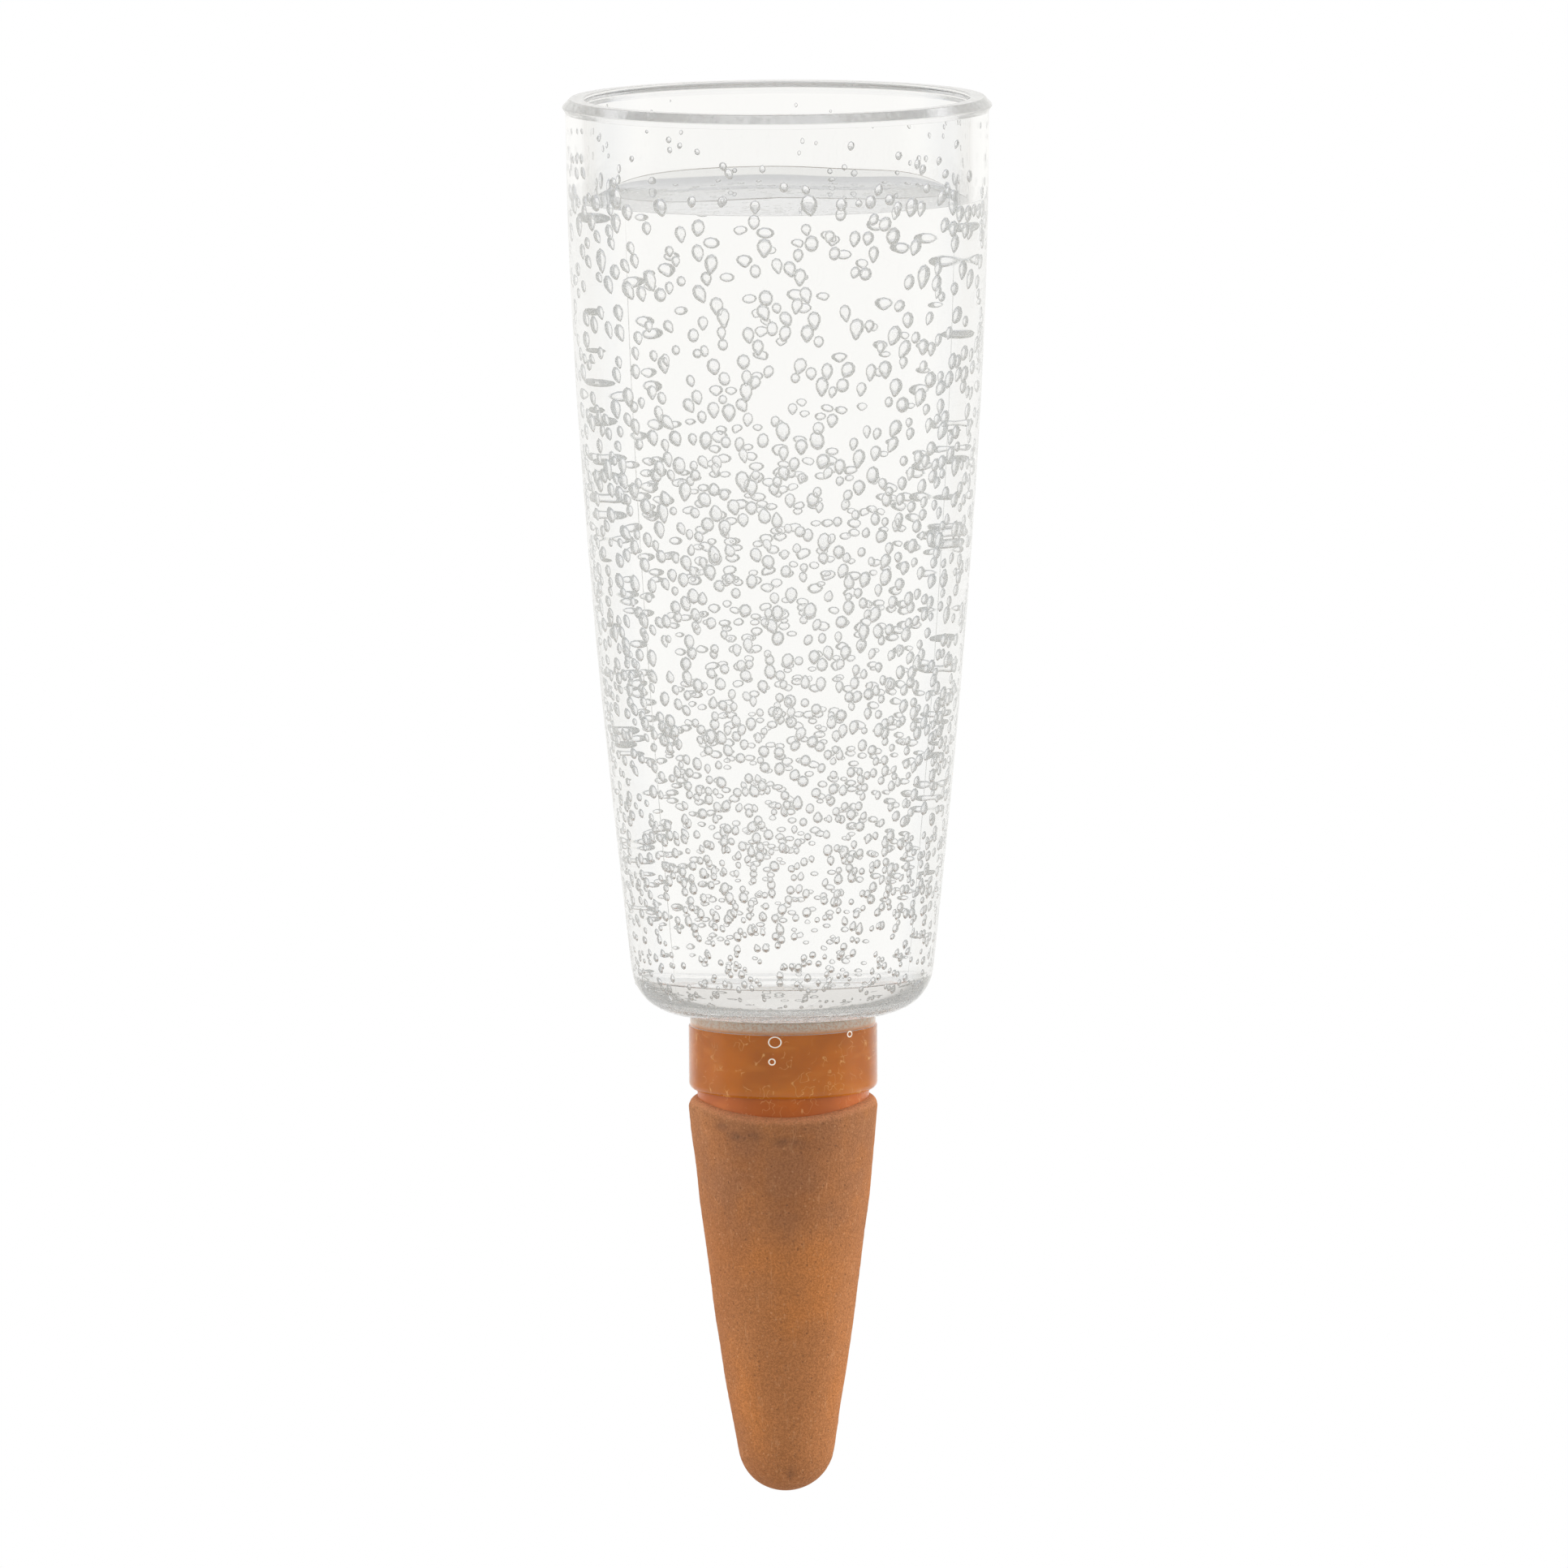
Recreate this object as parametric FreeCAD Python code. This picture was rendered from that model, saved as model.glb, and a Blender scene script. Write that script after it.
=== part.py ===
import FreeCAD, Part
import math
import os

# Self watering spike: a clear tapered water reservoir that plugs onto a hollow fired clay cone.
# All lengths are in millimetres. The origin is on the axis at the soil line, where the seal's lip sits on
# the clay shoulder. +Z points up, out of the soil.

# Heights of the stack above the soil line
seal_lip_height = 2.6        # the ring of seal that shows between clay shoulder and socket
socket_height = 15.0         # socket wall, from its mouth up to its seat on the clay neck
neck_ring_height = 3.4       # clear ring between socket and cup
cup_height = 213.5           # from the cup's underside to the flat top of its rim

# Reservoir cup
cup_top_radius = 49.2        # outside, just under the rim
cup_base_radius = 34.05     # outside, where the line of the wall meets the underside
cup_wall = 4.5
cup_base_thickness = 8.8
cup_base_corner = 11.0       # outside rounding at the foot of the wall
cup_base_corner_share = 0.9  # the most of the underside, outside the neck ring, that this rounding may take
cup_floor_corner = 2.0       # inside rounding at the foot of the wall
wall_line_shares = ((0.26, 0.388), (0.475, 0.655), (0.73, 0.891), (0.90, 0.981))  # of height, of widening

# Rim of the cup
rim_radius = 50.0            # the sharp outer edge
rim_flat_radius = 48.2       # outer edge of the flat top ring
rim_bevel_height = 2.0
rim_undercut_height = 1.2
rim_inner_round = 0.7

# Neck and socket under the cup
neck_ring_radius = 21.65
socket_radius = 22.0
socket_wall = 2.0
socket_mouth_round = 1.9
seat_width = 3.0             # the ledge in the socket that rests on the seal
drain_radius = 5.0
drain_edge_round = 0.6

# Seal sleeve on the clay neck
seal_socket_clearance = 0.1  # round the seal, in the socket's bore
seal_clay_clearance = 0.05   # round the clay neck, in the seal's bore
seal_thickness = 1.1
seal_flange_thickness = 0.8  # the part that lies over the end of the clay neck
seal_edge_round = 0.4

# Clay cone
cone_length = 92.2           # from the shoulder to the tip
cone_shoulder_radius = 22.25 # where the lines of shoulder and side meet
cone_shoulder_round = 2.4
cone_nose_radius = 11.3
cone_belly = 0.7             # how far the side swells past a straight line
clay_wall = 4.5
clay_neck_edge_round = 0.5
cavity_flare_height = 8.0    # below the shoulder, where the neck's bore widens into the cone's cavity

# Places worked out from the sizes above
seat_z = seal_lip_height + socket_height
underside_z = seat_z + neck_ring_height
floor_z = underside_z + cup_base_thickness
rim_z = underside_z + cup_height
rim_edge_z = rim_z - rim_bevel_height
wall_top_z = rim_edge_z - rim_undercut_height
socket_bore_radius = socket_radius - socket_wall
seat_bore_radius = socket_bore_radius - seat_width
seal_radius = socket_bore_radius - seal_socket_clearance
seal_bore_radius = seal_radius - seal_thickness
clay_neck_radius = seal_bore_radius - seal_clay_clearance
clay_bore_radius = clay_neck_radius - clay_wall
clay_neck_z = seat_z - seal_flange_thickness

origin = FreeCAD.Vector(0, 0, 0)
up = FreeCAD.Vector(0, 0, 1)


def at(radius, height):
    return FreeCAD.Vector(radius, 0, height)


def straight(*points):
    """Edges that join the points one after the other."""
    return [Part.LineSegment(start, end).toShape() for start, end in zip(points, points[1:])]


def arc(centre, radius, start, end):
    """The shorter arc from start to end about a centre that lies at the radius from both."""
    middle = (start + end) / 2 - centre
    return Part.Arc(start, centre + middle.normalize() * radius, end).toShape()


def turned(edges):
    """The solid that a closed outline sweeps about the upright axis."""
    outline = Part.Wire(Part.__sortEdges__(edges))
    return Part.Face(outline).revolve(origin, up, 360)


def ring_edge(solid, radius, height):
    """The circular edge of a turned solid that lies nearest to a radius and height."""
    edges = [edge for edge in solid.Edges if not edge.Degenerated]
    rings = [edge for edge in edges if isinstance(edge.Curve, Part.Circle)]
    return min(rings, key=lambda edge: abs(edge.Curve.Radius - radius) + abs(edge.Curve.Center.z - height))


def rounded(solid, rounds):
    """The solid with each ring edge, given as round, radius and height, rounded off."""
    for size, radius, height in rounds:
        solid = solid.makeFillet(size, [ring_edge(solid, radius, height)]).Solids[0]
    return solid


def wall_line(low, high):
    """A side of the cup's wall between two points, which widens fast at the foot and hardly at the rim."""
    points = [low]
    for height_share, widening_share in wall_line_shares:
        radius = low.x + (high.x - low.x) * widening_share
        points.append(at(radius, low.z + (high.z - low.z) * height_share))
    curve = Part.BSplineCurve()
    curve.interpolate(points + [high])
    return curve.toShape()


def reservoir():
    """Cup with its rim, the neck ring below it and the socket that takes the clay neck, moulded as one."""
    first_height_share, first_widening_share = wall_line_shares[0]
    foot_slope = (cup_top_radius - cup_base_radius) * first_widening_share
    foot_slope = foot_slope / ((wall_top_z - underside_z) * first_height_share)
    floor_radius = cup_base_radius + foot_slope * cup_base_thickness - cup_wall
    mouth_radius = cup_top_radius - cup_wall

    foot, wall_top = at(cup_base_radius, underside_z), at(cup_top_radius, wall_top_z)
    floor_edge, mouth = at(floor_radius, floor_z), at(mouth_radius, rim_z)
    outline = [wall_line(foot, wall_top), wall_line(floor_edge, mouth)]
    outline += straight(wall_top, at(rim_radius, rim_edge_z), at(rim_flat_radius, rim_z), mouth)
    outline += straight(
        foot,
        at(neck_ring_radius, underside_z),
        at(neck_ring_radius, seat_z),
        at(socket_radius, seat_z),
        at(socket_radius, seal_lip_height),
        at(socket_bore_radius, seal_lip_height),
        at(socket_bore_radius, seat_z),
        at(seat_bore_radius, seat_z),
        at(seat_bore_radius, underside_z),
        at(drain_radius, underside_z),
        at(drain_radius, floor_z),
        floor_edge,
    )
    base_corner = min(cup_base_corner, cup_base_corner_share * (cup_base_radius - neck_ring_radius))
    rounds = [
        (base_corner, cup_base_radius, underside_z),
        (cup_floor_corner, floor_radius, floor_z),
        (rim_inner_round, mouth_radius, rim_z),
        (drain_edge_round, drain_radius, floor_z),
        (min(socket_mouth_round, socket_wall - seal_socket_clearance), socket_radius, seal_lip_height),
    ]
    return rounded(turned(outline), rounds)


def seal_sleeve():
    """Rubber sleeve round the clay neck: its flange seals the neck's end, its lip shows below the socket."""
    outline = straight(
        at(seal_bore_radius, 0),
        at(seal_radius, 0),
        at(seal_radius, seat_z),
        at(seat_bore_radius, seat_z),
        at(seat_bore_radius, clay_neck_z),
        at(seal_bore_radius, clay_neck_z),
        at(seal_bore_radius, 0),
    )
    return rounded(turned(outline), [(seal_edge_round, seal_radius, seat_z)])


def side_centre(nose_centre, shoulder):
    """Centre and radius of the large arc of the cone's side, which passes the shoulder and runs into the nose."""
    chord = shoulder.z - nose_centre.z
    radius = chord**2 / (8 * cone_belly)
    way = shoulder - nose_centre
    nose_reach = radius - cone_nose_radius
    along = (nose_reach**2 - radius**2 + way.Length**2) / (2 * way.Length)
    aside = math.sqrt(nose_reach**2 - along**2)
    way.normalize()
    return nose_centre + way * along + FreeCAD.Vector(-way.z, 0, way.x) * aside, radius


def clay_cone():
    """Hollow cone with a round nose. Its neck stands up from a rounded shoulder, and its cavity is open above."""
    nose_centre = at(0, cone_nose_radius - cone_length)
    shoulder = at(cone_shoulder_radius, 0)
    centre, side_radius = side_centre(nose_centre, shoulder)
    nose_way = (nose_centre - centre).normalize()

    side_end = centre + nose_way * side_radius
    tip = at(0, -cone_length)
    neck_foot = at(clay_neck_radius, 0)
    neck_top = at(clay_neck_radius, clay_neck_z)
    bore_top, bore_foot = at(clay_bore_radius, clay_neck_z), at(clay_bore_radius, 0)

    inner_radius = side_radius - clay_wall
    inner_nose_radius = cone_nose_radius - clay_wall
    flare_reach = math.sqrt(inner_radius**2 - (cavity_flare_height + centre.z) ** 2)
    flare_foot = at(centre.x + flare_reach, -cavity_flare_height)
    inner_end = centre + nose_way * inner_radius
    inner_tip = at(0, nose_centre.z - inner_nose_radius)

    outline = [
        arc(centre, side_radius, shoulder, side_end),
        arc(nose_centre, cone_nose_radius, side_end, tip),
        arc(centre, inner_radius, flare_foot, inner_end),
        arc(nose_centre, inner_nose_radius, inner_end, inner_tip),
    ]
    outline += straight(shoulder, neck_foot, neck_top, bore_top, bore_foot, flare_foot)
    outline += straight(tip, inner_tip)
    rounds = [
        (cone_shoulder_round, cone_shoulder_radius, 0),
        (clay_neck_edge_round, clay_neck_radius, clay_neck_z),
        (clay_neck_edge_round, clay_bore_radius, clay_neck_z),
    ]
    return rounded(turned(outline), rounds)


os.makedirs("parts", exist_ok=True)
pieces = {"reservoir": reservoir(), "seal_sleeve": seal_sleeve(), "clay_cone": clay_cone()}
for name, shape in pieces.items():
    box = shape.BoundBox
    print(name, shape.ShapeType, shape.isValid(), round(shape.Volume), round(box.XLength, 2), box.ZMin, box.ZMax)
    shape.exportStep(f"parts/{name}.step")
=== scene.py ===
import math

import bpy
import numpy as np
from mathutils import Matrix, Vector


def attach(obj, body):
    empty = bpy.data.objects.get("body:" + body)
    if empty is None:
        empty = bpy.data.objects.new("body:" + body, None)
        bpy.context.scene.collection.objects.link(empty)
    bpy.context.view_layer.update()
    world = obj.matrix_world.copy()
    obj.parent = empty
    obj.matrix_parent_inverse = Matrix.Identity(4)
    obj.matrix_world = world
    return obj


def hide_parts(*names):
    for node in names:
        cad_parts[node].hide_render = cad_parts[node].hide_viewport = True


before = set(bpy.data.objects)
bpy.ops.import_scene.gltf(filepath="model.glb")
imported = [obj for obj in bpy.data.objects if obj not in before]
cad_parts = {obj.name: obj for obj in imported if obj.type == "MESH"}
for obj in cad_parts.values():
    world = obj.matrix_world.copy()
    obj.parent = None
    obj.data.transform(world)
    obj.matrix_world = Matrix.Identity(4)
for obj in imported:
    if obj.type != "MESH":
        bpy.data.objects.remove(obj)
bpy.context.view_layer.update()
print("loaded the packed model,", len(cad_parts), "nodes")

mm = 0.001  # sizes below are in millimetres, and a piece is brought to metres when its mesh is made
near = 0.01  # heights and radii that differ by less count as the same
tiny = 1e-6


# Camera: far off, a little above the rim, tipped slightly to one side
cameraValues = {
    "aim": (0.6, 0.0, 74.0),  # the point in the middle of the picture
    "distance": 4994.0,
    "looksDownDeg": 6.78,
    "tipDeg": 0.36,
    "lens": 492.3,
    "sensor": 36.0,
}


def placeCamera(v):
    camera = bpy.data.objects.new("camera", bpy.data.cameras.new("camera"))
    camera.data.lens, camera.data.sensor_width = v["lens"], v["sensor"]
    down, tip = math.radians(v["looksDownDeg"]), math.radians(v["tipDeg"])
    ahead = Vector((0, math.cos(down), -math.sin(down)))
    up = Vector((math.sin(tip), math.cos(tip) * math.sin(down), math.cos(tip) * math.cos(down)))
    turn = Matrix((ahead.cross(up), up, -ahead)).transposed()
    place = (Vector(v["aim"]) - ahead * v["distance"]) * mm
    camera.matrix_world = Matrix.Translation(place) @ turn.to_4x4()
    bpy.context.scene.collection.objects.link(camera)
    bpy.context.scene.camera = camera


placeCamera(cameraValues)
print("placed the camera")


# Surface work that several pieces share
def unit(vectors):
    return vectors / np.linalg.norm(vectors, axis=-1, keepdims=True)


def meshPiece(name, points, faces, normals):
    mesh = bpy.data.meshes.new(name)
    mesh.from_pydata((points * mm).tolist(), [], faces)
    mesh.polygons.foreach_set("use_smooth", np.ones(len(mesh.polygons), bool))
    mesh.normals_split_custom_set_from_vertices(normals.tolist())
    mesh.update()
    piece = bpy.data.objects.new(name, mesh)
    bpy.context.scene.collection.objects.link(piece)
    return piece


def waves(points, seed, lengths, count=24):
    # Sum of plane waves sin(k . p + phase) with seeded ways, lengths and phases, scaled to about 1 high
    rng = np.random.default_rng(seed)
    ways = unit(rng.normal(size=(count, 3))) * (2 * math.pi / rng.uniform(*lengths, count))[:, None]
    return np.sin(points @ ways.T + rng.uniform(0, 2 * math.pi, count)).sum(-1) / math.sqrt(count / 2)


def smoothStep(x, low, high):
    t = np.clip((x - low) / (high - low), 0, 1)
    return t * t * (3 - 2 * t)


def cubicLine(knotsX, knotsY, x):
    # Natural cubic spline: a + b x + the sum of c |x - knot| cubed, where the sums of c and of c knot are 0
    def rows(at):
        return np.column_stack([np.abs(at[:, None] - knotsX) ** 3, np.ones(len(at)), at])

    system = np.zeros((len(knotsX) + 2, len(knotsX) + 2))
    system[:-2] = rows(knotsX)
    system[-2:, :-2] = rows(knotsX)[:, -2:].T
    return (rows(np.ravel(x)) @ np.linalg.solve(system, np.append(knotsY, (0, 0)))).reshape(np.shape(x))


def roundedOutline(corners, closed=True, stepDeg=7.5, longest=2.2):
    # Outline through (radius, height, rounding), with the material on its left. Each corner becomes an arc
    # that touches both its sides, and the sides are divided to the longest step.
    corners = np.array(corners, float)
    points = corners[:, :2]
    before = unit(points - np.roll(points, 1, axis=0))
    after = unit(np.roll(points, -1, axis=0) - points)
    turns = np.arctan2(before[:, 0] * after[:, 1] - before[:, 1] * after[:, 0], (before * after).sum(1))
    if not closed:
        turns[[0, -1]] = 0
    stretches = []
    for point, rounding, way, turn in zip(points, corners[:, 2], before, turns):
        if rounding == 0 or abs(turn) < tiny:
            stretches.append(point[None])
            continue
        spoke = math.copysign(rounding, turn) * np.array([way[1], -way[0]])
        centre = point - way * rounding * abs(math.tan(turn / 2)) - spoke
        t = np.linspace(0, turn, max(3, int(abs(turn) / math.radians(stepDeg)) + 2))[:, None]
        stretches.append(centre + spoke * np.cos(t) + np.array([-spoke[1], spoke[0]]) * np.sin(t))
    line = np.concatenate(stretches)
    ends = np.roll(line, -1, axis=0) if closed else line[1:]
    divided = []
    for start, end in zip(line, ends):
        steps = max(1, math.ceil(np.hypot(*(end - start)) / longest))
        divided.append(start + (end - start) * np.linspace(0, 1, steps, endpoint=False)[:, None])
    return np.concatenate(divided if closed else divided + [line[-1:]])


def bandFaces(low, high):
    # Four-sided faces between two rows of corners that each close on themselves
    return np.stack([low, np.roll(low, -1, -1), np.roll(high, -1, -1), high], -1).reshape(-1, 4)


def gridNormals(points, closed):
    # Square to the lines between the neighbours round the axis and along the outline
    along = np.roll(points, -1, 0) - np.roll(points, 1, 0) if closed else np.gradient(points, axis=0)
    return unit(np.cross(np.roll(points, -1, 1) - np.roll(points, 1, 1), along))


def turnedPiece(name, outline, turns, shape=None):
    # Surface of revolution: the outline's point (r, z) at angle t lies at (r cos t, r sin t, z). An outline
    # that starts on the axis is closed by its poles, any other closes on itself. shape may move the points.
    onAxis = outline[0, 0] == 0
    r, z = (outline[1:-1] if onAxis else outline).T
    angle = np.linspace(0, 2 * math.pi, turns, endpoint=False)
    x, y = np.outer(r, np.cos(angle)), np.outer(r, np.sin(angle))
    points = np.stack([x, y, np.outer(z, np.ones(turns))], -1)
    poles = np.array([[0, 0, outline[0, 1]], [0, 0, outline[-1, 1]]])
    poleNormals = np.array([[0, 0, -1.0], [0, 0, 1.0]])
    normals = gridNormals(points, not onAxis)
    if shape:
        points, poles = shape(points, normals), shape(poles, poleNormals)
        normals = gridNormals(points, not onAxis)
    index = np.arange(points.shape[0] * turns).reshape(-1, turns)
    low, high = (index[:-1], index[1:]) if onAxis else (index, np.roll(index, -1, axis=0))
    faces = bandFaces(low, high).tolist()
    points, normals = points.reshape(-1, 3), normals.reshape(-1, 3)
    if onAxis:
        foot, top = len(points), len(points) + 1
        points, normals = np.concatenate([points, poles]), np.concatenate([normals, poleNormals])
        faces += [[foot, b, a] for a, b in zip(index[0].tolist(), np.roll(index[0], -1).tolist())]
        faces += [[top, a, b] for a, b in zip(index[-1].tolist(), np.roll(index[-1], -1).tolist())]
    return meshPiece(name, points, faces, normals)


def dress(piece, body, *materials, slot=None, nodes=()):
    for material in materials:
        piece.data.materials.append(material)
    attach(piece, body)
    if nodes:
        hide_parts(*nodes)
    return piece


def byRing(piece, numbers, turns):
    # Gives the faces of each ring the ring's material; where there are poles, theirs come last
    piece.data.polygons.foreach_set("material_index", np.repeat(numbers, turns).astype(np.int32))


# Material work that several pieces share
def tone(red, green, blue):
    # A colour as a screen shows it, from 0 to 255, brought to the renderer's own scale
    share = np.array([red, green, blue]) / 255
    return (*np.where(share < 0.04045, share / 12.92, ((share + 0.055) / 1.055) ** 2.4).tolist(), 1)


def put(tree, kind, inputs=None, **settings):
    # Adds a node, with its settings and with each input set to a value or linked to a socket
    made = tree.nodes.new("ShaderNode" + kind)
    for key, value in settings.items():
        setattr(made, key, value)
    for key, value in (inputs or {}).items():
        if isinstance(value, bpy.types.NodeSocket):
            tree.links.new(value, made.inputs[key])
        else:
            made.inputs[key].default_value = value
    return made


def newMaterial(name):
    material = bpy.data.materials.new(name)
    material.use_nodes = True
    material.node_tree.nodes.clear()
    return material, material.node_tree


def finishMaterial(tree, kind, inputs=None):
    put(tree, "OutputMaterial", {"Surface": put(tree, kind, inputs).outputs[0]})


def finishDust(tree, colour):
    # Dry dust has no gloss
    dull = {"Base Color": colour, "Roughness": 1.0, "Specular IOR Level": 0.0}
    finishMaterial(tree, "BsdfPrincipled", dull)


def objectPlace(tree):
    return put(tree, "TexCoord").outputs["Object"]


def maths(tree, operation, first, second=0.0):
    return put(tree, "Math", {0: first, 1: second}, operation=operation).outputs[0]


def times(tree, first, second):
    return maths(tree, "MULTIPLY", first, second)


def vectorMaths(tree, operation, *values):
    return put(tree, "VectorMath", dict(enumerate(values)), operation=operation).outputs


def span(tree, value, low, high, toLow=0.0, toHigh=1.0):
    places = {"Value": value, "From Min": low, "From Max": high, "To Min": toLow, "To Max": toHigh}
    return put(tree, "MapRange", places, interpolation_type="SMOOTHSTEP").outputs[0]


def mixed(tree, share, first, second, kind="MIX"):
    inputs = {"Factor": share, "A": first, "B": second}
    return put(tree, "Mix", inputs, data_type="RGBA", blend_type=kind).outputs["Result"]


def cover(tree, colour, layer, mask, share):
    # A layer of another colour where the mask is, shown by a share
    return mixed(tree, times(tree, mask, share), colour, layer)


# Node groups: the effects that several materials share
effectValues = {
    "finer": 2.7,  # the grain's second noise against its first
    "coarser": 0.5,  # and the cells that may hold a pit or a pale grain
    "tones": (0.7, 1.3),  # sums of both noises that count as dark and light
    "speck": (0.34, 0.16),  # the soft edge of a pit or pale grain
    "chances": {"Pits": (0.26, 0.12), "Pale": (0.78, 0.9)},  # which cells hold one
    "breaks": 0.6,  # the noise that breaks the scratches against the one that draws them
    "ends": 0.06,  # how softly a scratch ends
}


def newGroup(name, inputs, outputs):
    # Every group takes a place and puts out plain values
    group = bpy.data.node_groups.new(name, "ShaderNodeTree")
    for label, value in {"Vector": (0.0, 0.0, 0.0), **inputs}.items():
        kind = "NodeSocketVector" if isinstance(value, tuple) else "NodeSocketFloat"
        group.interface.new_socket(label, in_out="INPUT", socket_type=kind).default_value = value
    for label in outputs:
        group.interface.new_socket(label, in_out="OUTPUT", socket_type="NodeSocketFloat")
    return group, group.nodes.new("NodeGroupInput").outputs, group.nodes.new("NodeGroupOutput").inputs


def useGroup(tree, group, inputs):
    return put(tree, "Group", inputs, node_tree=group).outputs


def noise(tree, place, scale, detail=2.0):
    return put(tree, "TexNoise", {"Vector": place, "Scale": scale, "Detail": detail}).outputs["Fac"]


def makeGrain(v):
    # Sand-like grain: two noises for the tone and the height, and a scatter of dark pits and pale grains
    group, given, result = newGroup("grain", {"Scale": 1000.0}, ("Tone", "Pits", "Pale"))
    place, scale = given["Vector"], given["Scale"]
    fine = noise(group, place, times(group, scale, v["finer"]), 1.0)
    both = maths(group, "ADD", noise(group, place, scale), fine)
    group.links.new(span(group, both, *v["tones"]), result["Tone"])
    cells = put(group, "TexVoronoi", {"Vector": place, "Scale": times(group, scale, v["coarser"])}).outputs
    speck = span(group, cells["Distance"], *v["speck"])
    chance = put(group, "SeparateColor", {"Color": cells["Color"]}).outputs["Red"]
    for label, limits in v["chances"].items():
        group.links.new(times(group, speck, span(group, chance, *limits)), result[label])
    return group


def makePatches():
    # Soft patches: a noise, cut off between two of its values
    group, given, result = newGroup("patches", {"Scale": 50.0, "Low": 0.45, "High": 0.65}, ("Mask",))
    cloud = noise(group, given["Vector"], given["Scale"], 4.0)
    group.links.new(span(group, cloud, given["Low"], given["High"]), result["Mask"])
    return group


def makeScratches(v):
    # Hair-thin marks: the lines where a drawn-out noise crosses its middle, kept only where another is high
    inputs = {"Stretch": (1.0, 1.0, 1.0), "Scale": 200.0, "Width": 0.01, "Rare": 0.6}
    group, given, result = newGroup("scratches", inputs, ("Mask",))
    drawn = vectorMaths(group, "MULTIPLY", given["Vector"], given["Stretch"])[0]
    middle = maths(group, "SUBTRACT", noise(group, drawn, given["Scale"], 1.0), 0.5)
    off = maths(group, "ABSOLUTE", middle)
    line = put(group, "MapRange", {"Value": off, "From Min": given["Width"], "From Max": 0.0}).outputs[0]
    where = noise(group, drawn, times(group, given["Scale"], v["breaks"]))
    kept = span(group, where, given["Rare"], maths(group, "ADD", given["Rare"], v["ends"]))
    group.links.new(times(group, line, kept), result["Mask"])
    return group


def makeSpot():
    # One soft spot: 1 at its centre, 0 where the distance, counted in its own sizes, reaches 1
    inputs = {"Centre": (0.0, 0.0, 0.0), "Size": (0.001, 0.001, 0.001)}
    group, given, result = newGroup("spot", inputs, ("Mask",))
    offset = vectorMaths(group, "SUBTRACT", given["Vector"], given["Centre"])[0]
    counted = vectorMaths(group, "DIVIDE", offset, given["Size"])[0]
    length = vectorMaths(group, "LENGTH", counted)["Value"]
    group.links.new(span(group, length, 1.0, 0.0), result["Mask"])
    return group


grain, patches = makeGrain(effectValues), makePatches()
scratches, spot = makeScratches(effectValues), makeSpot()


def patchMask(tree, place, scale, low=0.45, high=0.65):
    return useGroup(tree, patches, {"Vector": place, "Scale": scale, "Low": low, "High": high})["Mask"]


def grainTone(tree, place, scale):
    return useGroup(tree, grain, {"Vector": place, "Scale": scale})["Tone"]


# Reservoir: cup, rim, neck ring and socket moulded as one, with its water
reservoirValues = {
    "lipHeight": 2.6,
    "seatHeight": 17.6,
    "undersideHeight": 21.0,
    "floorHeight": 29.8,
    "wallTopHeight": 231.3,
    "rimEdgeHeight": 232.5,
    "rimHeight": 234.5,
    "socketRadius": 22.0,
    "socketBore": 20.0,
    "seatBore": 17.0,
    "neckRadius": 21.65,
    "drainRadius": 5.0,
    "baseRadius": 34.05,
    "topRadius": 49.2,
    "rimRadius": 50.0,
    "rimFlatRadius": 48.2,
    "wall": 4.5,
    "baseCorner": 11.0,
    "floorCorner": 0.4,
    "cornerRoom": 1.4,  # the wall's own rows start this far above a corner, counted in its rounding
    "mouthRound": 1.85,
    "neckRounds": (0.17, 0.12, 0.5),  # from the top of the socket to the underside
    "rimRounds": (0.4, 0.35, 0.5, 0.7),  # from the undercut to the inside of the mouth
    "drainRounds": (0.6, 0.25, 0.3),  # at the floor, at its foot and at the top of the neck ring
    "edgeRound": 0.1,  # at every other edge
    "rimSkirt": 0.1,  # how far the dull cut of the rim reaches below its undercut
    "dimFrom": (30.8, 29.4),  # painted shade: the thick bottom is tinted duller than the wall: where that starts and is full
    "footShadeColour": (0.66, 0.64, 0.61, 1),
    "dimBack": 0.2,  # and how much of that the back of the foot shows
    "sugarHeight": 25.8,  # below this the outside is left rough from the mould
    "heightShares": (0.0, 0.26, 0.475, 0.73, 0.90, 1.0),
    "wideningShares": (0.0, 0.388, 0.655, 0.891, 0.981, 1.0),
    "ring": 4.0,  # height between two rings of the wall's mesh
    "turns": 180,
    "waviness": 0.025,
    "waveSeed": 5,
    "waveLengths": (18, 60),
}
waterValues = {
    "level": 210.8,
    "creep": 3.85,  # how far the water climbs the wetted wall at the back
    "creepFront": 0.08,  # the share of it that the water climbs at the front and the sides
    "creepFrom": (0.15, 0.95),  # how far a place faces the back, where the creep starts and is full
    "creepTop": (0.02, 0.15),  # its two highest rings, below its top
    "creepFoot": 150,  # its lowest ring, as a part of the whole
    "creepRings": 26,
    "flatRings": 12,
    "footRings": 6,
    "edgeRings": 2,
    "capillary": 2.72,  # the length at which its weight and its surface's pull balance
    "skin": 0.02,  # how far the water's own sides stay inside the wet wall
    "lime": tone(252, 205, 150),  # chalky dust on the foot of the water
    "limeLight": tone(255, 246, 226),
    "limeScale": 900.0,
    "turns": 144,
}
plasticIor, waterIor = 1.49, 1.333
plasticColour = (0.992, 0.993, 0.991, 1)
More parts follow.
